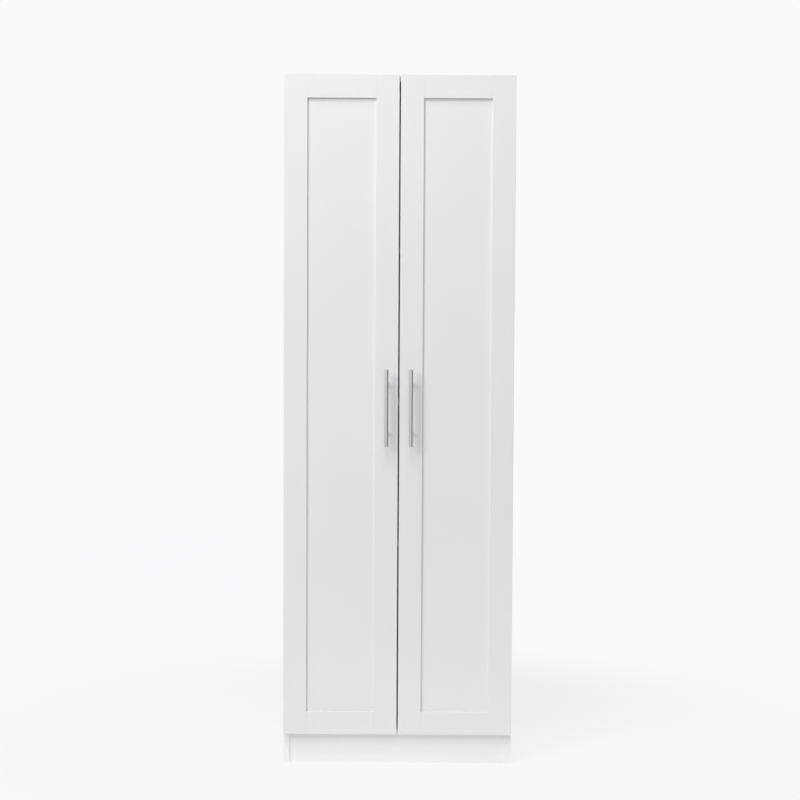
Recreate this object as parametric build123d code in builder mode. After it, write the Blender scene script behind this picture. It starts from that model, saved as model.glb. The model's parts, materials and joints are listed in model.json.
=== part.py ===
from build123d import *
from math import atan2, degrees, hypot
import os

os.makedirs("parts", exist_ok=True)

# Tall two-door pantry cabinet. Millimetres: X across the width, -Y to the front, +Z up.
# The origin is on the floor, at the middle of the footprint with the handles included.

# ---- Driving dimensions ----
width = 600
height = 1800
depth = 385            # back face to the doors' front face
board = 16             # sides, top, bottom and shelves
door_thk = 18
back_thk = 3
handle_reach = 35      # doors' front face to the front of the handles

door_front = handle_reach - (depth + handle_reach) / 2
door_back = door_front + door_thk
door_clear = 2                          # air between the doors and the carcass
front = door_back + door_clear          # front edges of the sides
rear = door_front + depth               # outside of the back panels
back_inner = rear - back_thk            # rear edges of the boards
half = width / 2
inner = half - board                    # inner face of each side

# Fixed and loose boards, by the height of their undersides
kick_height = 83
bottom_z = kick_height
lower_shelf_z = 576
fixed_shelf_z = 944
upper_shelf_z = 1341
top_z = height - board
shelf_end_gap = 1.5
shelf_setback = 5
kick_recess = 4

# Doors: a frame of two stiles and two rails around a thin flat panel
door_bottom = 81
door_top = height - 1
door_outer = half - 1
door_inner = 1.75                       # half of the gap between the two doors
frame_width = 60
panel_thk = 6
panel_recess = 6.5                      # doors' front face to the panel's front
tongue = 8
groove_depth = 8.5
groove_clear = 0.05
arris = 0.5

# Joinery
dowel_r, dowel_hole_r, dowel_in_side, dowel_in_board = 4.0, 4.05, 10, 20
cam_r, cam_depth, cam_reach = 7.4, 12.4, 24
cam_hole_r, cam_hole_depth = 7.5, 12.5
bolt_r, bolt_hole_r, bolt_in_side = 3.5, 4.0, 11
bolt_thread_r = 2.5
cam_y = (-112, 168)
dowel_y = (-60, 110)
cover_r, cover_thk = 8.5, 0.8
nail_r, nail_length, nail_head_r, nail_head = 0.9, 20, 2.0, 0.8

# Shelf pins and their holes
pin_r, pin_hole_r, pin_in_side, pin_hole_depth = 2.5, 2.55, 9, 10
pin_reach, pin_flange_r, pin_flange = 8, 4.5, 1.3
pin_pitch = 32
pin_setback = 37
pin_y = (front + pin_setback, 170)

# Concealed hinges. Each is drawn on the left door in (u, v): u runs in from the door's
# outer edge, v runs back from the door's rear face. The right door's are mirrored.
hinge_z = (181, 687, 1193, 1699)
cup_u, cup_r, cup_bore_r, cup_depth = 20.5, 17.4, 17.5, 11.5
cup_pocket_r, pocket_half, cup_floor = 16.4, 8.2, 1.0
flange_u, flange_half, flange_w, flange_thk = 30.0, 31.0, 16.0, 1.2
cup_screw_z, cup_screw_r, cup_screw_depth = 22.5, 1.8, 11
door_pivot = (8.0, -5.5)                # pin in the cup
arm_pivot = (30.5, -3.5)                # pin in the arm
pivot_r, pivot_clear = 1.1, 0.06
link_half, link_w = 4.5, 2.6
link_bow = ((13.0, -8.0), (24.0, -7.0))  # corners of the bent link
arm_half, arm_wall, arm_top, arm_end = 8.0, 1.6, 29.0, 72.0
plate_v = door_clear + 37               # screw line, 37 mm from the side's front edge
plate_screw_z, plate_screw_r, plate_screw_depth = 16, 2.4, 11
plate_thk, plate_half, plate_w = 2.0, 23.0, 14.0
rail_half, rail_start, rail_end = 6.2, 18.0, 70.0
arm_screw_v, arm_screw_r, arm_screw_depth = (30.0, 60.0), 2.4, 8

# Handles
bar_r, bar_length, post_r, post_pitch = 5.0, 200, 4.0, 128
handle_z = 940.5
handle_screw_r, handle_screw_in_post = 2.0, 10

# Tip-over bracket and the blocks behind the kick board
bracket_half, bracket_leg, bracket_thk = 22, 40, 2
wall_hole_x, wall_hole_z, wall_hole_r = 12, 1760, 3.0
block = 22
block_screw_r, block_screw_bite = 1.9, 10
head_r, head_thk = 3.5, 1.8             # common pan head of the wood screws


def slab(x, y, z, mode=Mode.ADD):
    """A box between two limits on each axis."""
    middle = [(a + b) / 2 for a, b in (x, y, z)]
    with Locations(tuple(middle)):
        Box(abs(x[1] - x[0]), abs(y[1] - y[0]), abs(z[1] - z[0]), mode=mode)


def rod(start, direction, radius, length, mode=Mode.ADD):
    """A cylinder from a point along a direction."""
    with Locations(Plane(origin=start, z_dir=direction)):
        Cylinder(radius, length, align=(Align.CENTER, Align.CENTER, Align.MIN), mode=mode)


def drill(start, direction, radius, length):
    rod(start, direction, radius, length, mode=Mode.SUBTRACT)


def screw(start, direction, radius, length):
    """A pan-head screw: start is on the seat under its head, direction is the way in."""
    rod(start, direction, radius, length)
    rod(start, [-d for d in direction], head_r, head_thk)


def save(name, part):
    part.label = name
    export_step(part, f"parts/{name}.step")


def left_x(u):
    return u - door_outer


def left_y(v):
    return v + door_back


def hinge_sketch_plane(z):
    """The (u, v) plane of the left door's hinges, at height z."""
    return Plane(origin=(left_x(0), left_y(0), z))


def stadium(p, q, w):
    """A round-ended bar between two points of the current sketch."""
    length = hypot(q[0] - p[0], q[1] - p[1])
    with Locations(((p[0] + q[0]) / 2, (p[1] + q[1]) / 2)):
        SlotCenterToCenter(length, w, rotation=degrees(atan2(q[1] - p[1], q[0] - p[0])))


# Where the fixed boards meet the sides: underside height and whether covers show below
fixed_boards = (bottom_z, fixed_shelf_z, top_z)
dowel_spots = [(y, z + board / 2) for z in fixed_boards for y in dowel_y]
kick_y = front + kick_recess + board / 2
dowel_spots.append((kick_y, kick_height * 0.7))
pin_rows = [(y, z - pin_r) for z in (lower_shelf_z, upper_shelf_z) for y in pin_y]

# Nails through the back panels, as (x, z)
joint_z = fixed_shelf_z + board / 2
back_edge = half - board / 2
lower_nail_z = [bottom_z + board / 2 + step * (joint_z - bottom_z - board / 2) / 6 for step in range(1, 6)]
upper_nail_z = [joint_z + step * (top_z + board / 2 - joint_z) / 6 for step in range(1, 6)]
nails = [(s * back_edge, z) for s in (-1, 1) for z in lower_nail_z + upper_nail_z]
for nail_z in (bottom_z + board / 2, joint_z - 4, joint_z + 4, top_z + board / 2):
    nails += [(x, nail_z) for x in (-190, 0, 190)]

# ---- Sides ----
for name, s in (("side_left", -1), ("side_right", 1)):
    with BuildPart() as side:
        slab((s * inner, s * half), (front, back_inner), (0, height))
        for y, z in dowel_spots:
            drill((s * inner, y, z), (s, 0, 0), dowel_hole_r, dowel_in_side + 1)
        for z in fixed_boards:
            for y in cam_y:
                drill((s * inner, y, z + board / 2), (s, 0, 0), bolt_thread_r, bolt_in_side)
        for y, z in pin_rows:
            for row in (-pin_pitch, 0, pin_pitch):
                drill((s * inner, y, z + row), (s, 0, 0), pin_hole_r, pin_hole_depth)
        for z in hinge_z:
            for dz in (-plate_screw_z, plate_screw_z):
                drill((s * inner, left_y(plate_v), z + dz), (s, 0, 0), plate_screw_r, plate_screw_depth)
        drill((s * inner, kick_y + board / 2 + block / 2, block + 8), (s, 0, 0),
              block_screw_r, block_screw_bite)
        for x, z in nails:
            if x * s == back_edge:
                drill((x, back_inner, z), (0, -1, 0), nail_r, nail_length - back_thk)
    save(name, side.part)


def fixed_board(name, z, bracket_screws=False, block_screws=False):
    """A board held between the sides by cams and dowels, nailed to the back panels."""
    with BuildPart() as panel:
        slab((-inner, inner), (front, back_inner), (z, z + board))
        for s in (-1, 1):
            for y in dowel_y:
                drill((s * inner, y, z + board / 2), (-s, 0, 0), dowel_hole_r, dowel_in_board + 1)
            for y in cam_y:
                drill((s * inner, y, z + board / 2), (-s, 0, 0), bolt_hole_r, cam_reach)
                drill((s * (inner - cam_reach), y, z), (0, 0, 1), cam_hole_r, cam_hole_depth)
        for x, nail_at in nails:
            if abs(x) < back_edge and z < nail_at < z + board:
                drill((x, back_inner, nail_at), (0, -1, 0), nail_r, nail_length - back_thk)
        if bracket_screws:
            for x in (-wall_hole_x, wall_hole_x):
                drill((x, back_inner - bracket_leg / 2, z), (0, 0, 1), block_screw_r, block_screw_bite)
        if block_screws:
            for x in (-131 + 6, 131 + 6):
                drill((x, kick_y + board / 2 + block / 2, z), (0, 0, 1), block_screw_r, block_screw_bite)
    save(name, panel.part)


fixed_board("top_panel", top_z, bracket_screws=True)
fixed_board("fixed_shelf", fixed_shelf_z)
fixed_board("bottom_panel", bottom_z, block_screws=True)

# ---- Loose shelves ----
for name, z in (("shelf_lower", lower_shelf_z), ("shelf_upper", upper_shelf_z)):
    with BuildPart() as shelf:
        slab((shelf_end_gap - inner, inner - shelf_end_gap), (front + shelf_setback, back_inner - 1),
             (z, z + board))
    save(name, shelf.part)

# ---- Back panels, nailed on behind the boards ----
for name, low, high in (("back_lower", bottom_z + 1, joint_z - 0.5), ("back_upper", joint_z + 0.5, height - 2)):
    with BuildPart() as back:
        slab((2 - half, half - 2), (back_inner, rear), (low, high))
        for x, z in nails:
            if low < z < high:
                drill((x, rear, z), (0, -1, 0), nail_r, back_thk)
                drill((x, rear, z), (0, -1, 0), nail_head_r, nail_head)
        if low < wall_hole_z < high:
            for x in (-wall_hole_x, wall_hole_x):
                drill((x, rear, wall_hole_z), (0, -1, 0), wall_hole_r, back_thk)
    save(name, back.part)

with BuildPart() as back_nails:
    for x, z in nails:
        rod((x, rear, z), (0, -1, 0), nail_r, nail_length)
        rod((x, rear, z), (0, -1, 0), nail_head_r, nail_head)
save("back_nails", back_nails.part)

# ---- Kick board and its blocks ----
block_y = kick_y + board / 2            # rear face of the kick board, where the blocks sit
end_blocks = [(s, s * (inner - block / 2)) for s in (-1, 1)]
under_blocks = (-131, 131)
block_low = block
block_high = kick_height - block

with BuildPart() as kick_board:
    slab((-inner, inner), (front + kick_recess, block_y), (0, kick_height))
    for s, x in end_blocks:
        drill((s * inner, kick_y, kick_height * 0.7), (-s, 0, 0), dowel_hole_r, dowel_in_board + 1)
        drill((x, block_y, block_low + block - 8), (0, -1, 0), block_screw_r, block_screw_bite)
    for x in under_blocks:
        drill((x - 6, block_y, block_high + block / 2), (0, -1, 0), block_screw_r, block_screw_bite)
save("kick_board", kick_board.part)

with BuildPart() as kick_corner_blocks:
    for s, x in end_blocks:
        slab((x - block / 2, x + block / 2), (block_y, block_y + block), (block_low, block_low + block))
        drill((x - s * block / 2, block_y + block / 2, block_low + 8), (s, 0, 0), block_screw_r, block)
        drill((x, block_y + block, block_low + block - 8), (0, -1, 0), block_screw_r, block)
    for x in under_blocks:
        slab((x - block / 2, x + block / 2), (block_y, block_y + block), (block_high, kick_height))
        drill((x + 6, block_y + block / 2, block_high), (0, 0, 1), block_screw_r, block)
        drill((x - 6, block_y + block, block_high + block / 2), (0, -1, 0), block_screw_r, block)
save("kick_corner_blocks", kick_corner_blocks.part)

with BuildPart() as kick_block_screws:
    block_screw_length = block + block_screw_bite
    for s, x in end_blocks:
        screw((x - s * block / 2, block_y + block / 2, block_low + 8), (s, 0, 0),
              block_screw_r, block_screw_length)
        screw((x, block_y + block, block_low + block - 8), (0, -1, 0), block_screw_r, block_screw_length)
    for x in under_blocks:
        screw((x + 6, block_y + block / 2, block_high), (0, 0, 1), block_screw_r, block_screw_length)
        screw((x - 6, block_y + block, block_high + block / 2), (0, -1, 0),
              block_screw_r, block_screw_length)
save("kick_block_screws", kick_block_screws.part)

# ---- Cams, their bolts and covers, and the dowels ----
cam_spots = [(s, y, z) for s in (-1, 1) for y in cam_y for z in fixed_boards]

with BuildPart() as cam_locks:
    for s, y, z in cam_spots:
        x = s * (inner - cam_reach)
        rod((x, y, z + 0.1), (0, 0, 1), cam_r, cam_depth)
        # The hook that takes the bolt's head, and the cross slot for the driver
        slab((x, x + s * 10), (y - 4, y + 4), (z + 3.8, z + cam_depth + 0.2), mode=Mode.SUBTRACT)
        slab((x - 4, x + 4), (y - 0.6, y + 0.6), (z, z + 2), mode=Mode.SUBTRACT)
        slab((x - 0.6, x + 0.6), (y - 4, y + 4), (z, z + 2), mode=Mode.SUBTRACT)
save("cam_locks", cam_locks.part)

with BuildPart() as cam_bolts:
    for s, y, z in cam_spots:
        mid = z + board / 2
        rod((s * (inner + bolt_in_side), y, mid), (-s, 0, 0), bolt_thread_r, bolt_in_side)
        rod((s * inner, y, mid), (-s, 0, 0), bolt_r, 14)
        rod((s * (inner - 14), y, mid), (-s, 0, 0), 2.0, 6.5)
        rod((s * (inner - 20.5), y, mid), (-s, 0, 0), bolt_r, 3)
save("cam_bolts", cam_bolts.part)

with BuildPart() as cam_covers:
    for s, y, z in cam_spots:
        if z != bottom_z:
            rod((s * (inner - cam_reach), y, z), (0, 0, -1), cover_r, cover_thk)
save("cam_covers", cam_covers.part)

with BuildPart() as wood_dowels:
    for s in (-1, 1):
        for y, z in dowel_spots:
            rod((s * (inner + dowel_in_side), y, z), (-s, 0, 0), dowel_r, dowel_in_side + dowel_in_board)
save("wood_dowels", wood_dowels.part)

# ---- Shelf pins ----
with BuildPart() as shelf_pins:
    for s in (-1, 1):
        for y, z in pin_rows:
            rod((s * (inner + pin_in_side), y, z), (-s, 0, 0), pin_r, pin_in_side + pin_reach)
            rod((s * inner, y, z), (-s, 0, 0), pin_flange_r, pin_flange)
save("shelf_pins", shelf_pins.part)

# ---- Tip-over bracket under the top panel ----
with BuildPart() as wall_bracket:
    slab((-bracket_half, bracket_half), (back_inner - bracket_leg, back_inner),
         (top_z - bracket_thk, top_z))
    slab((-bracket_half, bracket_half), (back_inner - bracket_thk, back_inner),
         (top_z - bracket_leg, top_z))
    for x in (-wall_hole_x, wall_hole_x):
        drill((x, back_inner, wall_hole_z), (0, -1, 0), wall_hole_r, bracket_thk)
        drill((x, back_inner - bracket_leg / 2, top_z), (0, 0, -1), block_screw_r, bracket_thk)
save("wall_bracket", wall_bracket.part)

with BuildPart() as wall_bracket_screws:
    for x in (-wall_hole_x, wall_hole_x):
        screw((x, back_inner - bracket_leg / 2, top_z - bracket_thk), (0, 0, 1),
              block_screw_r, bracket_thk + block_screw_bite)
save("wall_bracket_screws", wall_bracket_screws.part)

# ---- Doors: wooden parts, for the left door (s = -1) and the right door (s = 1) ----
panel_y = (door_front + panel_recess, door_front + panel_recess + panel_thk)
groove_y = (panel_y[0] - groove_clear, panel_y[1] + groove_clear)
stile_in = door_outer - frame_width     # inner edge of the hinge stile
stile_mid = door_inner + frame_width    # inner edge of the meeting stile
post_z = (handle_z - post_pitch / 2, handle_z + post_pitch / 2)
handle_x = door_inner + frame_width / 2


def soften_front(part):
    """Take the sharp edge off the front of a door member."""
    chamfer(part.faces().sort_by(Axis.Y)[0].edges(), arris)


for side_name, s in (("left", -1), ("right", 1)):
    with BuildPart() as hinge_stile:
        slab((s * stile_in, s * door_outer), (door_front, door_back), (door_bottom, door_top))
        soften_front(hinge_stile)
        slab((s * stile_in, s * (stile_in + groove_depth)), groove_y, (door_bottom, door_top),
             mode=Mode.SUBTRACT)
        for z in hinge_z:
            drill((s * (door_outer - cup_u), door_back, z), (0, -1, 0), cup_bore_r, cup_depth + 0.5)
            for dz in (-cup_screw_z, cup_screw_z):
                drill((s * (door_outer - flange_u), door_back, z + dz), (0, -1, 0),
                      cup_screw_r, cup_screw_depth)
    save(f"{side_name}_hinge_stile", hinge_stile.part)

    with BuildPart() as meeting_stile:
        slab((s * door_inner, s * stile_mid), (door_front, door_back), (door_bottom, door_top))
        soften_front(meeting_stile)
        slab((s * (stile_mid - groove_depth), s * stile_mid), groove_y, (door_bottom, door_top),
             mode=Mode.SUBTRACT)
        for z in post_z:
            drill((s * handle_x, door_back, z), (0, -1, 0), handle_screw_r + 0.4, door_thk)
    save(f"{side_name}_meeting_stile", meeting_stile.part)

    for rail_name, low, inward in (("bottom_rail", door_bottom, 1), ("top_rail", door_top - frame_width, -1)):
        with BuildPart() as rail:
            slab((s * stile_mid, s * stile_in), (door_front, door_back), (low, low + frame_width))
            soften_front(rail)
            slab((s * (stile_mid - tongue), s * (stile_in + tongue)), panel_y, (low, low + frame_width))
            lip = low + frame_width if inward > 0 else low
            slab((s * (stile_mid - tongue), s * (stile_in + tongue)), groove_y,
                 (lip, lip - inward * groove_depth), mode=Mode.SUBTRACT)
            save(f"{side_name}_{rail_name}", rail.part)

    with BuildPart() as panel:
        slab((s * (stile_mid - tongue), s * (stile_in + tongue)), panel_y,
             (door_bottom + frame_width - tongue, door_top - frame_width + tongue))
    save(f"{side_name}_panel", panel.part)

    # ---- Handle: a round bar on two posts, screwed on from behind the door ----
    bar_y = door_front - handle_reach + bar_r
    with BuildPart() as handle_bar:
        rod((s * handle_x, bar_y, handle_z - bar_length / 2), (0, 0, 1), bar_r, bar_length)
        chamfer(handle_bar.edges().filter_by(GeomType.CIRCLE), 0.6)
    save(f"{side_name}_handle_bar", handle_bar.part)

    with BuildPart() as handle_posts:
        for z in post_z:
            rod((s * handle_x, door_front, z), (0, -1, 0), post_r, door_front - bar_y)
        rod((s * handle_x, bar_y, handle_z - bar_length / 2), (0, 0, 1), bar_r, bar_length,
            mode=Mode.SUBTRACT)
        for z in post_z:
            drill((s * handle_x, door_front, z), (0, -1, 0), handle_screw_r, handle_screw_in_post)
    save(f"{side_name}_handle_posts", handle_posts.part)

    with BuildPart() as handle_screws:
        for z in post_z:
            screw((s * handle_x, door_back, z), (0, -1, 0), handle_screw_r,
                  door_thk + handle_screw_in_post)
    save(f"{side_name}_handle_screws", handle_screws.part)

    with BuildPart() as bumpers:
        for z in (bottom_z + board / 2, top_z + board / 2):
            rod((s * 20, door_back, z), (0, 1, 0), 4.0, door_clear - 0.1)
    save(f"{side_name}_bumpers", bumpers.part)

# ---- Hinges: each kind of piece is drawn once on the left and copied to every hinge ----


def copies(part, sides):
    """One compound of a left-hand piece at every hinge height, mirrored for the right."""
    pieces = []
    for z in hinge_z:
        moved = part.moved(Location((0, 0, z)))
        if "left" in sides:
            pieces += moved.solids()
        if "right" in sides:
            pieces += mirror(moved, about=Plane.YZ).solids()
    return Compound(children=pieces)


with BuildPart() as cup:
    rod((left_x(cup_u), left_y(-cup_depth), 0), (0, 1, 0), cup_r, cup_depth)
    slab((left_x(flange_u - flange_w / 2), left_x(flange_u + flange_w / 2)),
         (left_y(0), left_y(flange_thk)), (-flange_half, flange_half))
    fillet(cup.edges().filter_by(Axis.Y), 4)
    with BuildSketch(Plane.XZ.offset(-left_y(flange_thk))) as pocket:
        with Locations((left_x(cup_u), 0)):
            Circle(cup_pocket_r)
            Rectangle(3 * cup_r, 2 * pocket_half, mode=Mode.INTERSECT)
    extrude(amount=flange_thk + cup_depth - cup_floor, mode=Mode.SUBTRACT)
    # The rim is lowered beside the pivot, where the link leaves the cup
    slab((left_x(0), left_x(6.5)), (left_y(-2), left_y(flange_thk)), (-pocket_half, pocket_half),
         mode=Mode.SUBTRACT)
    drill((left_x(door_pivot[0]), left_y(door_pivot[1]), -pocket_half - 1), (0, 0, 1),
          pivot_r, 2 * pocket_half + 2)
    for dz in (-cup_screw_z, cup_screw_z):
        drill((left_x(flange_u), left_y(flange_thk), dz), (0, -1, 0), cup_screw_r, flange_thk)

with BuildPart() as cup_pin:
    rod((left_x(door_pivot[0]), left_y(door_pivot[1]), -pocket_half - 1), (0, 0, 1),
        pivot_r, 2 * pocket_half + 2)

with BuildPart() as cup_screw:
    for dz in (-cup_screw_z, cup_screw_z):
        screw((left_x(flange_u), left_y(flange_thk), dz), (0, -1, 0), cup_screw_r,
              flange_thk + cup_screw_depth)

with BuildPart() as link:
    with BuildSketch(hinge_sketch_plane(-link_half)):
        corners = (door_pivot, *link_bow, arm_pivot)
        for p, q in zip(corners, corners[1:]):
            stadium(p, q, link_w)
        with Locations(door_pivot, arm_pivot):
            Circle(2.4)
            Circle(pivot_r + pivot_clear, mode=Mode.SUBTRACT)
    extrude(amount=2 * link_half)

with BuildPart() as arm:
    nose = 3.2                          # radius of the lugs round the arm's pin
    web_x = (arm_pivot[0] - nose, arm_pivot[0] + nose)
    with BuildSketch(hinge_sketch_plane(-arm_half)):
        with BuildLine():
            Polyline((web_x[0], arm_pivot[1]), (web_x[1], arm_pivot[1]), (web_x[1], 6),
                     (arm_top, 15), (arm_top, arm_end), (arm_top - 8, arm_end),
                     (arm_top - 8, 16), (web_x[0], 5), close=True)
        make_face()
        with Locations(arm_pivot):
            Circle(nose)
    extrude(amount=2 * arm_half)
    # Hollow it to a channel that is open towards the side panel and round the link
    with BuildSketch(hinge_sketch_plane(arm_wall - arm_half)):
        with BuildLine():
            Polyline((0, -20), (60, -20), (60, 3), (web_x[1] - arm_wall, 3),
                     (web_x[1] - arm_wall, 5.4), (arm_top - arm_wall, 14.6),
                     (arm_top - arm_wall, arm_end + 5), (0, arm_end + 5), close=True)
        make_face()
    extrude(amount=2 * (arm_half - arm_wall), mode=Mode.SUBTRACT)
    drill((left_x(arm_pivot[0]), left_y(arm_pivot[1]), -arm_half), (0, 0, 1), pivot_r, 2 * arm_half)
    for v in arm_screw_v:
        drill((left_x(arm_top), left_y(v), 0), (-1, 0, 0), arm_screw_r, arm_wall)

with BuildPart() as arm_pin:
    rod((left_x(arm_pivot[0]), left_y(arm_pivot[1]), -arm_half), (0, 0, 1), pivot_r, 2 * arm_half)

wall_u = board - 1                      # the side's inner face, in hinge coordinates
with BuildPart() as plate:
    slab((left_x(wall_u), left_x(wall_u + plate_thk)),
         (left_y(plate_v - plate_w / 2), left_y(plate_v + plate_w / 2)), (-plate_half, plate_half))
    fillet(plate.edges().filter_by(Axis.X), 4)
    slab((left_x(wall_u), left_x(arm_top - arm_wall)), (left_y(rail_start), left_y(rail_end)),
         (-rail_half, rail_half))
    for dz in (-plate_screw_z, plate_screw_z):
        drill((left_x(wall_u + plate_thk), left_y(plate_v), dz), (-1, 0, 0), plate_screw_r, plate_thk)
    for v in arm_screw_v:
        drill((left_x(arm_top - arm_wall), left_y(v), 0), (-1, 0, 0), arm_screw_r, arm_screw_depth)

with BuildPart() as plate_screw:
    for dz in (-plate_screw_z, plate_screw_z):
        screw((left_x(wall_u + plate_thk), left_y(plate_v), dz), (-1, 0, 0), plate_screw_r,
              plate_thk + plate_screw_depth)

with BuildPart() as arm_screw:
    for v in arm_screw_v:
        screw((left_x(arm_top), left_y(v), 0), (-1, 0, 0), arm_screw_r, arm_wall + arm_screw_depth)

for side_name in ("left", "right"):
    save(f"{side_name}_hinge_cups", copies(cup.part, side_name))
    save(f"{side_name}_cup_pins", copies(cup_pin.part, side_name))
    save(f"{side_name}_cup_screws", copies(cup_screw.part, side_name))
    save(f"{side_name}_hinge_links", copies(link.part, side_name))

both = "left and right"
save("hinge_arms", copies(arm.part, both))
save("hinge_arm_pins", copies(arm_pin.part, both))
save("hinge_plates", copies(plate.part, both))
save("hinge_plate_screws", copies(plate_screw.part, both))
save("hinge_arm_screws", copies(arm_screw.part, both))
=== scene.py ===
import bpy
import json
from math import radians
from mathutils import Matrix, Vector

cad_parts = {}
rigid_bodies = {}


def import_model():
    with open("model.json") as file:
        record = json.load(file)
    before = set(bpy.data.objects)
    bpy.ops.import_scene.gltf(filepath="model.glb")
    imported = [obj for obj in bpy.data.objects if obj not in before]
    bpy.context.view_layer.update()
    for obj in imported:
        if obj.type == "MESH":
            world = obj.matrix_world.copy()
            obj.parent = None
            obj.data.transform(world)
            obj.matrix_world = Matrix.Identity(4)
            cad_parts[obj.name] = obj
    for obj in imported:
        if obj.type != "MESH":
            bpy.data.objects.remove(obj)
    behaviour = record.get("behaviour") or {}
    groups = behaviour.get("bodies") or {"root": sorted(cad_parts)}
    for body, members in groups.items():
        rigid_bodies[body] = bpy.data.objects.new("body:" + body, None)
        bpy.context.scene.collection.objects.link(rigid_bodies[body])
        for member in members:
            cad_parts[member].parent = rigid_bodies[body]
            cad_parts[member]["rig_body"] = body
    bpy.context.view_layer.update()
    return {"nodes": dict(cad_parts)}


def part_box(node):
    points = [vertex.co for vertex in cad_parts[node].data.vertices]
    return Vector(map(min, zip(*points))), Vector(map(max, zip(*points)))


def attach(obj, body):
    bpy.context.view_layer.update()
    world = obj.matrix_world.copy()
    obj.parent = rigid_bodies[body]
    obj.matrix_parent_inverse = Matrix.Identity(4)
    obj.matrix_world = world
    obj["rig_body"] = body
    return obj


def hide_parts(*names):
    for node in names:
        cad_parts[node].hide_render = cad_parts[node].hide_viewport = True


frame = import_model()
nodes = frame["nodes"]
sides = ("left", "right")
bpy.ops.object.select_all(action="DESELECT")
print("stage: frame loaded,", len(nodes), "nodes")


# modelling helpers, each one or two steps of Blender's own tools

def pick(*objects):
    bpy.ops.object.select_all(action="DESELECT")
    for thing in objects:
        thing.select_set(True)
    bpy.context.view_layer.objects.active = objects[0]


def settle(piece, name):
    # leaves the object at the origin with its place in its mesh
    pick(piece)
    bpy.ops.object.transform_apply(location=True, rotation=True, scale=True)
    piece.name = name
    piece.data.name = name
    return piece


def addBlock(name, low, high):
    low, high = Vector(low), Vector(high)
    bpy.ops.mesh.primitive_cube_add(size=1, location=(low + high) / 2, scale=high - low)
    return settle(bpy.context.object, name)


def addRod(name, start, end, radius, around):
    start, end = Vector(start), Vector(end)
    turn = (end - start).to_track_quat("Z", "Y").to_euler()
    bpy.ops.mesh.primitive_cylinder_add(vertices=around, radius=radius, depth=(end - start).length,
                                        location=(start + end) / 2, rotation=turn)
    return settle(bpy.context.object, name)


def combine(piece, other, operation):
    change = piece.modifiers.new("shape", "BOOLEAN")
    change.operation = operation
    change.solver = "EXACT"
    change.object = other
    pick(piece)
    bpy.ops.object.modifier_apply(modifier=change.name)
    bpy.data.objects.remove(other, do_unlink=True)
    return piece


def cut(piece, tool):
    return combine(piece, tool, "DIFFERENCE")


def weld(piece, other):
    return combine(piece, other, "UNION")


def smooth(piece, angle=35):
    # rounds shade round, and the weighting keeps the wide faces between them flat
    pick(piece)
    bpy.ops.object.shade_smooth_by_angle(angle=radians(angle))
    even = piece.modifiers.new("even", "WEIGHTED_NORMAL")
    even.mode = "FACE_AREA"
    even.weight = 100
    even.keep_sharp = True
    bpy.ops.object.modifier_apply(modifier=even.name)
    return piece


def soften(piece, width, segments=3, angle=30):
    # rounds every sharp edge
    pick(piece)
    edge = piece.modifiers.new("edge", "BEVEL")
    edge.width = width
    edge.segments = segments
    edge.limit_method = "ANGLE"
    edge.angle_limit = radians(angle)
    bpy.ops.object.modifier_apply(modifier=edge.name)
    return smooth(piece)


def chooseFaces(piece, test):
    # enters edit mode with the faces chosen whose middle and normal pass the test
    pick(piece)
    bpy.ops.object.mode_set(mode="EDIT")
    bpy.ops.mesh.select_mode(type="FACE")
    bpy.ops.mesh.select_all(action="DESELECT")
    bpy.ops.object.mode_set(mode="OBJECT")
    for face in piece.data.polygons:
        face.select = bool(test(face.center, face.normal))
    bpy.ops.object.mode_set(mode="EDIT")


def roundEdges(piece, width, segments, test):
    # bevels only the edges whose middle and run pass the test
    pick(piece)
    bpy.ops.object.mode_set(mode="EDIT")
    bpy.ops.mesh.select_mode(type="EDGE")
    bpy.ops.mesh.select_all(action="DESELECT")
    bpy.ops.object.mode_set(mode="OBJECT")
    points = piece.data.vertices
    for edge in piece.data.edges:
        a, b = (points[v].co for v in edge.vertices)
        edge.select = bool(test((a + b) / 2, b - a))
    bpy.ops.object.mode_set(mode="EDIT")
    bpy.ops.mesh.bevel(offset=width, segments=segments, affect="EDGES", clamp_overlap=True)
    bpy.ops.object.mode_set(mode="OBJECT")


# vertices closer than the gap are one, and faces within this many degrees lie flat
merging = {"gap": 0.000005, "flat": 1.5}


def copyCad(node, name):
    # a working copy of a CAD node, merged and with its flats made whole again
    piece = nodes[node].copy()
    piece.data = nodes[node].data.copy()
    bpy.context.scene.collection.objects.link(piece)
    piece.parent = None
    for key in list(piece.keys()):
        del piece[key]
    piece.name = name
    piece.data.name = name
    piece.data.materials.clear()
    pick(piece)
    bpy.ops.object.mode_set(mode="EDIT")
    bpy.ops.mesh.select_all(action="SELECT")
    bpy.ops.mesh.remove_doubles(threshold=merging["gap"])
    bpy.ops.mesh.dissolve_limited(angle_limit=radians(merging["flat"]))
    bpy.ops.object.mode_set(mode="OBJECT")
    return piece


def repeat(model, spots, name):
    # copies a finished model, each copy with its own mesh, and joins the row into one piece
    row = []
    for point, direction in spots:
        one = model.copy()
        one.data = model.data.copy()
        bpy.context.scene.collection.objects.link(one)
        turn = (-Vector(direction)).to_track_quat("Z", "Y").to_matrix().to_4x4()
        one.matrix_world = Matrix.Translation(point) @ turn
        row.append(one)
    pick(*row)
    bpy.ops.object.transform_apply(location=True, rotation=True, scale=True)
    if len(row) > 1:
        bpy.ops.object.join()
    piece = bpy.context.object
    piece.name = name
    piece.data.name = name
    return piece


def place(piece, body, material, *cadNodes, more=()):
    # hands a finished piece over: its finish, its body and the CAD nodes it stands for
    chosen = [face.material_index for face in piece.data.polygons]
    piece.data.materials.clear()
    piece.data.materials.append(material)
    for other in more:
        piece.data.materials.append(other)
    for face, index in zip(piece.data.polygons, chosen):
        face.material_index = index if more else 0
    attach(piece, body)
    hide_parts(*cadNodes)


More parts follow.
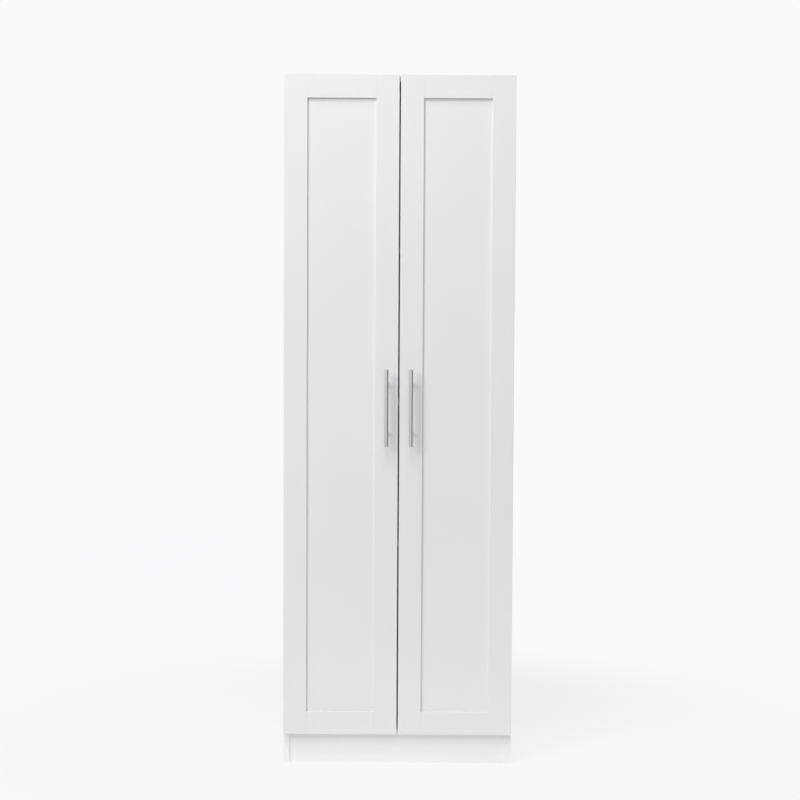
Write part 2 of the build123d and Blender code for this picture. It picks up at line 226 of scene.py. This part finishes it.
def bodyOf(node):
    return nodes[node]["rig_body"]


def pieceName(node):
    return node.title().replace("_", "")


# materials: each is mixed from noise on object coordinates

def startMaterial(name, roughness, metallic=0.0, specular=0.5):
    material = bpy.data.materials.new(name)
    material.use_nodes = True
    tree = material.node_tree
    shader = tree.nodes["Principled BSDF"]
    shader.inputs["Roughness"].default_value = roughness
    shader.inputs["Metallic"].default_value = metallic
    shader.inputs["Specular IOR Level"].default_value = specular
    coords = tree.nodes.new("ShaderNodeTexCoord")
    return material, tree, shader, coords.outputs["Object"]


def stretched(tree, coords, scale):
    mapping = tree.nodes.new("ShaderNodeMapping")
    mapping.inputs["Scale"].default_value = scale
    tree.links.new(coords, mapping.inputs["Vector"])
    return mapping.outputs["Vector"]


def noise(tree, coords, scale, detail=2.0, rough=0.5):
    node = tree.nodes.new("ShaderNodeTexNoise")
    node.inputs["Scale"].default_value = scale
    node.inputs["Detail"].default_value = detail
    node.inputs["Roughness"].default_value = rough
    tree.links.new(coords, node.inputs["Vector"])
    return node.outputs["Fac"]


def cells(tree, coords, scale):
    node = tree.nodes.new("ShaderNodeTexVoronoi")
    node.inputs["Scale"].default_value = scale
    tree.links.new(coords, node.inputs["Vector"])
    return node.outputs["Distance"]


def ramp(tree, value, stops):
    node = tree.nodes.new("ShaderNodeValToRGB")
    ends = node.color_ramp.elements
    while len(ends) < len(stops):
        ends.new(0.5)
    for end, (where, colour) in zip(ends, stops):
        end.position = where
        end.color = (*colour, 1.0)
    tree.links.new(value, node.inputs["Fac"])
    return node.outputs["Color"]


def spread(tree, value, low, high):
    node = tree.nodes.new("ShaderNodeMapRange")
    node.inputs["To Min"].default_value = low
    node.inputs["To Max"].default_value = high
    tree.links.new(value, node.inputs["Value"])
    return node.outputs["Result"]


def bump(tree, shader, height, strength, distance):
    node = tree.nodes.new("ShaderNodeBump")
    node.inputs["Strength"].default_value = strength
    node.inputs["Distance"].default_value = distance
    tree.links.new(height, node.inputs["Height"])
    tree.links.new(node.outputs["Normal"], shader.inputs["Normal"])


def times(tree, first, second):
    node = tree.nodes.new("ShaderNodeMath")
    node.operation = "MULTIPLY"
    tree.links.new(first, node.inputs[0])
    tree.links.new(second, node.inputs[1])
    return node.outputs["Value"]


def twoTone(tree, value, recipe):
    first, last = recipe["stops"]
    return ramp(tree, value, [(first, recipe["dark"]), (last, recipe["light"])])


def dress(tree, shader, colour, sheen, recipe):
    # colour and roughness, the roughness running over the recipe's own range
    tree.links.new(colour, shader.inputs["Base Color"])
    tree.links.new(spread(tree, sheen, *recipe["rough"]), shader.inputs["Roughness"])


# satin white lacquer on MDF, with the faint orange peel of a sprayed coat
doorPaint = {"light": (0.782, 0.797, 0.793), "dark": (0.764, 0.780, 0.777), "stops": (0.35, 0.65),
             "patch": 2.2, "sheen": 14, "rough": (0.36, 0.46), "peel": 430, "relief": 0.35,
             "depth": 0.00006}


def makeDoorPaint():
    material, tree, shader, coords = startMaterial("satinDoorPaint", 0.4)
    patches = noise(tree, coords, doorPaint["patch"], 3.0)
    sheen = noise(tree, coords, doorPaint["sheen"], 4.0, 0.6)
    dress(tree, shader, twoTone(tree, patches, doorPaint), sheen, doorPaint)
    peel = noise(tree, coords, doorPaint["peel"], 2.0)
    bump(tree, shader, peel, doorPaint["relief"], doorPaint["depth"])
    return material


# white melamine face with its fine pearl texture
boardFace = {"light": (0.868, 0.883, 0.876), "dark": (0.850, 0.866, 0.860), "stops": (0.3, 0.7),
             "patch": 3.1, "sheen": 22, "rough": (0.42, 0.55), "pearl": 900, "relief": 0.3,
             "depth": 0.00008}


def makeBoardFace():
    material, tree, shader, coords = startMaterial("whiteMelamine", 0.5)
    patches = noise(tree, coords, boardFace["patch"], 2.0)
    sheen = noise(tree, coords, boardFace["sheen"], 3.0)
    dress(tree, shader, twoTone(tree, patches, boardFace), sheen, boardFace)
    bump(tree, shader, cells(tree, coords, boardFace["pearl"]), boardFace["relief"],
         boardFace["depth"])
    return material


# bare particle board, seen on cut edges that get no banding
chipEdge = {"resin": (0.30, 0.19, 0.10), "chip": (0.62, 0.46, 0.29), "pale": (0.74, 0.60, 0.42),
            "stops": (0.05, 0.22, 0.5), "lie": (1, 1, 2.2), "flake": 260, "grain": 900,
            "rough": (0.75, 0.95), "relief": 0.6, "depth": 0.0004}


def makeChipEdge():
    material, tree, shader, coords = startMaterial("bareChipboard", 0.85, specular=0.2)
    flakes = cells(tree, stretched(tree, coords, chipEdge["lie"]), chipEdge["flake"])
    grain = noise(tree, coords, chipEdge["grain"], 3.0, 0.6)
    both = times(tree, flakes, grain)
    colours = [chipEdge[tone] for tone in ("resin", "chip", "pale")]
    dress(tree, shader, ramp(tree, both, list(zip(chipEdge["stops"], colours))), grain, chipEdge)
    bump(tree, shader, both, chipEdge["relief"], chipEdge["depth"])
    return material


# 3 mm hardboard, painted white towards the shelves
whiteHardboard = {"light": (0.80, 0.81, 0.80), "dark": (0.77, 0.78, 0.77), "stops": (0.3, 0.7),
                  "fibre": 700, "rough": (0.52, 0.68), "relief": 0.25, "depth": 0.00008}


def makeHardboardFace():
    material, tree, shader, coords = startMaterial("paintedHardboard", 0.6, specular=0.35)
    fine = noise(tree, coords, whiteHardboard["fibre"], 4.0, 0.65)
    dress(tree, shader, twoTone(tree, fine, whiteHardboard), fine, whiteHardboard)
    bump(tree, shader, fine, whiteHardboard["relief"], whiteHardboard["depth"])
    return material


# the same board's bare brown fibre at the rear, with the mesh it was pressed on
brownHardboard = {"light": (0.36, 0.235, 0.14), "dark": (0.22, 0.13, 0.075), "stops": (0.08, 0.34),
                  "lie": (1.0, 1.0, 0.35), "fibre": 700, "clouds": 38, "rough": (0.78, 0.95),
                  "mesh": 420, "relief": 0.7, "depth": 0.00035}


def makeHardboardRear():
    material, tree, shader, coords = startMaterial("hardboardFibre", 0.85, specular=0.2)
    along = stretched(tree, coords, brownHardboard["lie"])
    fibres = noise(tree, along, brownHardboard["fibre"], 5.0, 0.7)
    clouds = noise(tree, coords, brownHardboard["clouds"], 4.0)
    tint = twoTone(tree, times(tree, fibres, clouds), brownHardboard)
    dress(tree, shader, tint, fibres, brownHardboard)
    bump(tree, shader, cells(tree, coords, brownHardboard["mesh"]), brownHardboard["relief"],
         brownHardboard["depth"])
    return material


# metals share one recipe: grain stretched along the working direction, in tint, sheen and relief
anyMetal = {"stops": (0.3, 0.7), "clouds": 60, "relief": 0.4}
metals = {
    "brushedNickel": {"light": (0.635, 0.62, 0.605), "dark": (0.50, 0.485, 0.47),
                      "grain": (1500, 1500, 30), "depth": 0.00003, "rough": (0.26, 0.36)},
    "pressedNickel": {"light": (0.80, 0.79, 0.77), "dark": (0.64, 0.63, 0.61),
                      "grain": (260, 260, 260), "depth": 0.00002, "rough": (0.20, 0.32)},
    "zincPlate": {"light": (0.72, 0.75, 0.78), "dark": (0.52, 0.55, 0.59),
                  "grain": (420, 420, 420), "depth": 0.00003, "rough": (0.26, 0.44)},
    "castZinc": {"light": (0.60, 0.60, 0.61), "dark": (0.40, 0.40, 0.41),
                 "grain": (1300, 1300, 1300), "depth": 0.00012, "rough": (0.42, 0.60)},
}


def makeMetal(name):
    recipe = {**anyMetal, **metals[name]}
    material, tree, shader, coords = startMaterial(name, 0.35, metallic=1.0)
    grain = noise(tree, stretched(tree, coords, recipe["grain"]), 1.0, 5.0, 0.65)
    clouds = noise(tree, coords, recipe["clouds"], 3.0)
    dress(tree, shader, twoTone(tree, grain, recipe), clouds, recipe)
    bump(tree, shader, grain, recipe["relief"], recipe["depth"])
    return material


# steamed beech of the dowels, with its short dark flecks
beechWood = {"light": (0.66, 0.46, 0.29), "dark": (0.50, 0.32, 0.18), "stops": (0.35, 0.6),
             "grain": (60, 900, 900), "rough": (0.5, 0.72), "relief": 0.5, "depth": 0.00015}


def makeBeech():
    material, tree, shader, coords = startMaterial("beechWood", 0.6, specular=0.3)
    grain = noise(tree, stretched(tree, coords, beechWood["grain"]), 1.0, 6.0, 0.7)
    dress(tree, shader, twoTone(tree, grain, beechWood), grain, beechWood)
    bump(tree, shader, grain, beechWood["relief"], beechWood["depth"])
    return material


# moulded white plastic, finely spark-textured
whitePlastic = {"light": (0.86, 0.87, 0.86), "dark": (0.83, 0.84, 0.83), "stops": (0.3, 0.7),
                "patch": 40, "spark": 1200, "rough": (0.30, 0.42), "relief": 0.3,
                "depth": 0.00004}


def makeWhitePlastic():
    material, tree, shader, coords = startMaterial("mouldedPlastic", 0.35)
    spark = noise(tree, coords, whitePlastic["spark"], 2.0)
    patches = noise(tree, coords, whitePlastic["patch"], 2.0)
    dress(tree, shader, twoTone(tree, patches, whitePlastic), spark, whitePlastic)
    bump(tree, shader, spark, whitePlastic["relief"], whitePlastic["depth"])
    return material


# clear soft plastic of the door bumpers
clearRubber = {"light": (0.86, 0.88, 0.88), "dark": (0.78, 0.80, 0.80), "stops": (0.3, 0.7),
               "seeThrough": 0.55, "fine": 700, "rough": (0.22, 0.38), "relief": 0.3,
               "depth": 0.00005}


def makeClearRubber():
    material, tree, shader, coords = startMaterial("clearRubber", 0.3)
    shader.inputs["Transmission Weight"].default_value = clearRubber["seeThrough"]
    fine = noise(tree, coords, clearRubber["fine"], 3.0)
    dress(tree, shader, twoTone(tree, fine, clearRubber), fine, clearRubber)
    bump(tree, shader, fine, clearRubber["relief"], clearRubber["depth"])
    return material


paint = makeDoorPaint()
board = makeBoardFace()
chip = makeChipEdge()
backFace = makeHardboardFace()
backRear = makeHardboardRear()
nickel = makeMetal("brushedNickel")
pressed = makeMetal("pressedNickel")
zinc = makeMetal("zincPlate")
cast = makeMetal("castZinc")
beech = makeBeech()
plastic = makeWhitePlastic()
rubber = makeClearRubber()
print("stage: materials made")


# doors: five members each, every edge eased a little as sanded lacquer is
doorShape = {"arris": 0.0004, "panelArris": 0.0006}

for side in sides:
    for member in ("hinge_stile", "meeting_stile", "top_rail", "bottom_rail", "panel"):
        node = f"{side}_{member}"
        piece = copyCad(node, side + member.title().replace("_", ""))
        soften(piece, doorShape["panelArris" if member == "panel" else "arris"], 2)
        place(piece, side + "_door", paint, node)
print("stage: doors made")


# handles: a drawn bar with eased ends, saddled onto two posts
handleShape = {"around": 72, "endRound": 0.0007, "postRound": 0.0004, "postAround": 48,
               "saddleReach": 0.02}

for side in sides:
    body = side + "_door"
    low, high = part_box(f"{side}_handle_bar")
    mid = (low + high) / 2
    radius = (high.x - low.x) / 2
    bar = addRod(side + "HandleBar", (mid.x, mid.y, low.z), (mid.x, mid.y, high.z), radius,
                 handleShape["around"])
    soften(bar, handleShape["endRound"], 3)
    place(bar, body, nickel, f"{side}_handle_bar")
    low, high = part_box(f"{side}_handle_posts")
    postRadius = (high.x - low.x) / 2
    posts = None
    for z in (low.z + postRadius, high.z - postRadius):
        post = addRod("post", (mid.x, high.y, z), (mid.x, mid.y, z), postRadius,
                      handleShape["postAround"])
        below, above = z - handleShape["saddleReach"], z + handleShape["saddleReach"]
        cut(post, addRod("saddle", (mid.x, mid.y, below), (mid.x, mid.y, above), radius,
                         handleShape["around"]))
        posts = weld(posts, post) if posts else post
    posts.name = side + "HandlePosts"
    soften(posts, handleShape["postRound"], 2, 50)
    place(posts, body, nickel, f"{side}_handle_posts")
print("stage: handles made")


# boards: melamine faces, with bare chip where a cut edge is left unbanded
boardShape = {"arris": 0.0003, "backArris": 0.0002, "square": 0.9, "rearFrom": 0.2,
              "backTurn": 0.7}


def faces(facing, axis):
    return facing[axis] > boardShape["square"]


def ends(facing):
    return abs(facing.x) > boardShape["square"]


def sideCut(at, facing):
    return faces(-facing, 2) or (faces(facing, 1) and at.y > boardShape["rearFrom"])


def panelCut(at, facing):
    return faces(facing, 1) or ends(facing)


def shelfCut(at, facing):
    return faces(facing, 1)


def kickCut(at, facing):
    return faces(-facing, 2) or ends(facing)


bareEdges = {"side_left": sideCut, "side_right": sideCut, "top_panel": panelCut,
             "bottom_panel": panelCut, "fixed_shelf": panelCut, "shelf_lower": shelfCut,
             "shelf_upper": shelfCut, "kick_board": kickCut}

for node, bare in bareEdges.items():
    piece = copyCad(node, pieceName(node))
    soften(piece, boardShape["arris"], 2)
    for face in piece.data.polygons:
        face.material_index = int(bare(face.center, face.normal))
    place(piece, bodyOf(node), board, node, more=(chip,))

# the backs show their painted face forwards and bare fibre on every other side
for node in ("back_lower", "back_upper"):
    piece = copyCad(node, pieceName(node))
    soften(piece, boardShape["backArris"], 2)
    for face in piece.data.polygons:
        face.material_index = int(face.normal.y > -boardShape["backTurn"])
    place(piece, bodyOf(node), backFace, node, more=(backRear,))
print("stage: boards made")


# screws: domed head with a cross recess, and a shank that narrows to its point
screwShape = {"headThick": 0.0018, "headAround": 36, "dome": 0.0009, "domeSteps": 4,
              "crossLong": 0.0038, "crossWide": 0.0008, "crossDeep": 0.0011, "crossOver": 0.001,
              "around": 24, "overlap": 0.0001, "point": 0.003, "tip": 0.3, "crease": 40,
              "endBand": 0.0001}


def looseParts(node):
    # each separate solid's middle, size and long axis, and the way from head to point
    copyCad(node, "loose")
    bpy.ops.object.mode_set(mode="EDIT")
    bpy.ops.mesh.select_all(action="SELECT")
    bpy.ops.mesh.separate(type="LOOSE")
    bpy.ops.object.mode_set(mode="OBJECT")
    found = []
    for solid in list(bpy.context.selected_objects):
        points = [point.co.copy() for point in solid.data.vertices]
        low = Vector([min(p[i] for p in points) for i in range(3)])
        high = Vector([max(p[i] for p in points) for i in range(3)])
        size = high - low
        axis = max(range(3), key=lambda i: size[i])
        mid = (low + high) / 2
        band = screwShape["endBand"]
        lowWide = max((p - mid).length for p in points if p[axis] < low[axis] + band)
        highWide = max((p - mid).length for p in points if p[axis] > high[axis] - band)
        inward = Vector([0, 0, 0])
        inward[axis] = 1.0 if lowWide > highWide else -1.0
        found.append((mid, size, axis, inward))
        bpy.data.objects.remove(solid, do_unlink=True)
    return found


def makeScrew(shank, length, head):
    thick = screwShape["headThick"]
    screw = addRod("screw", (0, 0, 0), (0, 0, thick), head, screwShape["headAround"])
    roundEdges(screw, screwShape["dome"], screwShape["domeSteps"],
               lambda at, along: at.z > thick * 0.99)
    for across, along in (("crossWide", "crossLong"), ("crossLong", "crossWide")):
        x, y = screwShape[across] / 2, screwShape[along] / 2
        cut(screw, addBlock("cross", (-x, -y, thick - screwShape["crossDeep"]),
                            (x, y, thick + screwShape["crossOver"])))
    body = addRod("shank", (0, 0, screwShape["overlap"]), (0, 0, -length), shank,
                  screwShape["around"])
    pick(body)
    bpy.ops.object.mode_set(mode="EDIT")
    bpy.ops.mesh.select_all(action="SELECT")
    bpy.ops.mesh.bisect(plane_co=(0, 0, screwShape["point"] - length), plane_no=(0, 0, 1))
    bpy.ops.object.mode_set(mode="OBJECT")
    chooseFaces(body, lambda at, facing: facing.z < -0.9)
    bpy.ops.transform.resize(value=(screwShape["tip"], screwShape["tip"], 1))
    bpy.ops.object.mode_set(mode="OBJECT")
    weld(screw, body)
    return smooth(screw, screwShape["crease"])


screwRows = ["kick_block_screws", "wall_bracket_screws", "hinge_plate_screws", "hinge_arm_screws"]
screwRows += [f"{side}_{row}" for side in sides for row in ("cup_screws", "handle_screws")]
shankOf = {"kick_block_screws": 0.0019, "wall_bracket_screws": 0.0019, "hinge_plate_screws": 0.0024,
           "hinge_arm_screws": 0.0024, "cup_screws": 0.0018, "handle_screws": 0.0020}

for node in screwRows:
    solids = looseParts(node)
    mid, size, axis, inward = solids[0]
    head = max(size[i] for i in range(3) if i != axis) / 2
    length = size[axis] - screwShape["headThick"]
    model = makeScrew(shankOf[node.replace("left_", "").replace("right_", "")], length, head)
    spots = [(mid - inward * (size[axis] / 2 - screwShape["headThick"]), inward)
             for mid, size, axis, inward in solids]
    piece = repeat(model, spots, pieceName(node))
    bpy.data.objects.remove(model, do_unlink=True)
    smooth(piece, screwShape["crease"])
    place(piece, bodyOf(node), zinc, node)
print("stage: screws made")


# pressed, turned and moulded hardware, each kind with its own edge rounding and finish
hardware = {
    "hinge_cups": (0.00025, 2, pressed), "hinge_links": (0.00025, 2, pressed),
    "cup_pins": (0.0003, 2, zinc), "bumpers": (0.0008, 4, rubber),
    "hinge_arms": (0.0003, 2, pressed), "hinge_plates": (0.0004, 2, pressed),
    "hinge_arm_pins": (0.0003, 2, zinc), "cam_locks": (0.0003, 2, cast),
    "cam_bolts": (0.0003, 2, zinc), "cam_covers": (0.0004, 3, plastic),
    "wood_dowels": (0.0008, 2, beech), "shelf_pins": (0.0004, 3, zinc),
    "back_nails": (0.0003, 2, zinc), "wall_bracket": (0.0003, 2, zinc),
    "kick_corner_blocks": (0.0008, 3, plastic),
}

# the angle's four free corners are the short edges at its two ends
bracketShape = {"corner": 0.006, "steps": 6, "shortest": 0.0015, "longest": 0.0025,
                "halfWide": 0.022, "slack": 0.0001}


def bracketCorner(at, along):
    atEnd = abs(abs(at.x) - bracketShape["halfWide"]) < bracketShape["slack"]
    return atEnd and bracketShape["shortest"] < along.length < bracketShape["longest"]


for kind, (width, segments, finish) in hardware.items():
    own = [f"{side}_{kind}" for side in sides] if f"left_{kind}" in nodes else [kind]
    for node in own:
        piece = copyCad(node, pieceName(node))
        if kind == "wall_bracket":
            roundEdges(piece, bracketShape["corner"], bracketShape["steps"], bracketCorner)
        soften(piece, width, segments)
        place(piece, bodyOf(node), finish, node)
print("stage: hardware made")


# studio: a round of pale paper underfoot in a white surround, with a soft window to the left
studio = {"floorOut": 1.5, "floorAround": 96, "fadeFrom": 0.8, "fadeTo": 1.45,
          "paper": (0.15, 0.152, 0.15), "paperGlow": 0.82, "surroundOut": 12.0,
          "surroundAround": 64, "surroundRings": 32, "below": -0.003,
          "light": (0.948, 0.965, 0.957), "dark": (0.935, 0.957, 0.957), "stops": (0.35, 0.65),
          "clouds": 0.12, "air": 0.32}


def glowFrom(tree, shader, coords):
    clouds = twoTone(tree, noise(tree, coords, studio["clouds"], 2.0), studio)
    tree.links.new(clouds, shader.inputs["Emission Color"])


def makeStudioPaper():
    # pale paper near the feet that takes a faint shadow, and fades out to plain white at its rim
    material, tree, shader, coords = startMaterial("studioPaper", 0.9, specular=0.0)
    reach = tree.nodes.new("ShaderNodeVectorMath")
    reach.operation = "LENGTH"
    tree.links.new(coords, reach.inputs[0])
    fade = tree.nodes.new("ShaderNodeMapRange")
    fade.interpolation_type = "SMOOTHSTEP"
    fade.inputs["From Min"].default_value = studio["fadeFrom"]
    fade.inputs["From Max"].default_value = studio["fadeTo"]
    tree.links.new(reach.outputs["Value"], fade.inputs["Value"])
    tint = ramp(tree, fade.outputs["Result"], [(0.0, studio["paper"]), (1.0, (0, 0, 0))])
    tree.links.new(tint, shader.inputs["Base Color"])
    tree.links.new(spread(tree, fade.outputs["Result"], studio["paperGlow"], 1.0),
                   shader.inputs["Emission Strength"])
    glowFrom(tree, shader, coords)
    return material


def makeSurround():
    material, tree, shader, coords = startMaterial("studioSurround", 1.0, specular=0.0)
    shader.inputs["Base Color"].default_value = (0, 0, 0, 1)
    shader.inputs["Emission Strength"].default_value = 1.0
    glowFrom(tree, shader, coords)
    return material


# a dark felt card to the right that only reflections show, for the shaded edge of round bars
flag = {"at": (1.0, -0.72, 1.0), "wide": 1.2, "tall": 1.7, "thick": 0.01, "felt": 30,
        "light": (0.13, 0.13, 0.13), "dark": (0.10, 0.10, 0.10), "stops": (0.3, 0.7)}


def makeFlag():
    material, tree, shader, coords = startMaterial("studioFlag", 0.9, specular=0.0)
    felt = twoTone(tree, noise(tree, coords, flag["felt"], 3.0), flag)
    tree.links.new(felt, shader.inputs["Base Color"])
    return material


bpy.ops.mesh.primitive_circle_add(vertices=studio["floorAround"], radius=studio["floorOut"],
                                  fill_type="NGON")
floor = settle(bpy.context.object, "studioFloor")
floor.data.materials.append(makeStudioPaper())

bpy.ops.mesh.primitive_uv_sphere_add(segments=studio["surroundAround"],
                                     ring_count=studio["surroundRings"],
                                     radius=studio["surroundOut"])
surround = settle(bpy.context.object, "studioSurround")
bpy.ops.object.mode_set(mode="EDIT")
bpy.ops.mesh.select_all(action="SELECT")
bpy.ops.mesh.bisect(plane_co=(0, 0, studio["below"]), plane_no=(0, 0, 1), use_fill=True,
                    clear_inner=True)
bpy.ops.object.mode_set(mode="OBJECT")
surround.data.materials.append(makeSurround())
surround.visible_diffuse = False
surround.visible_shadow = False

bpy.ops.mesh.primitive_cube_add(size=1, location=flag["at"],
                                scale=(flag["thick"], flag["wide"], flag["tall"]))
card = settle(bpy.context.object, "studioFlag")
card.data.materials.append(makeFlag())
card.visible_camera = False
card.visible_diffuse = False
card.visible_shadow = False

lights = {
    "key": {"at": (-2.9, -4.05, 3.2), "aim": (0, -0.17, 0.95), "size": 1.7, "power": 91},
    "top": {"at": (-0.9, -2.6, 5.2), "aim": (0, -0.1, 0.8), "size": 2.6, "power": 132},
    "front": {"at": (0.5, -4.2, 4.3), "aim": (0, -0.17, 0.9), "size": 3.0, "power": 16},
    "back": {"at": (1.6, 4.2, 3.4), "aim": (0, 0.2, 0.9), "size": 3.0, "power": 90},
}
for name, setup in lights.items():
    bpy.ops.object.light_add(type="AREA", location=setup["at"])
    lamp = bpy.context.object
    lamp.name = name + "Light"
    ahead = Vector(setup["aim"]) - Vector(setup["at"])
    lamp.rotation_euler = ahead.to_track_quat("-Z", "Y").to_euler()
    lamp.data.shape = "SQUARE"
    lamp.data.size = setup["size"]
    lamp.data.energy = setup["power"]
    lamp.visible_camera = False

world = bpy.data.worlds.new("studioAir")
world.use_nodes = True
world.node_tree.nodes["Background"].inputs["Color"].default_value = (1.0, 1.0, 1.0, 1)
world.node_tree.nodes["Background"].inputs["Strength"].default_value = studio["air"]
bpy.context.scene.world = world

bpy.context.scene.view_settings.view_transform = "Standard"

# the camera stands level with the upper half and looks a little down; angles in degrees
view = {"at": (0.0109, -4.175, 1.148), "down": 2.687, "turn": 0.123, "roll": 0.297,
        "lens": 69.33, "sensor": 36}
facing = (radians(90 - view["down"]), radians(-view["roll"]), radians(view["turn"]))
bpy.ops.object.camera_add(location=view["at"], rotation=facing)
camera = bpy.context.object
camera.name = "camera"
camera.data.lens = view["lens"]
camera.data.sensor_width = view["sensor"]
bpy.context.scene.camera = camera
print("stage: studio made")
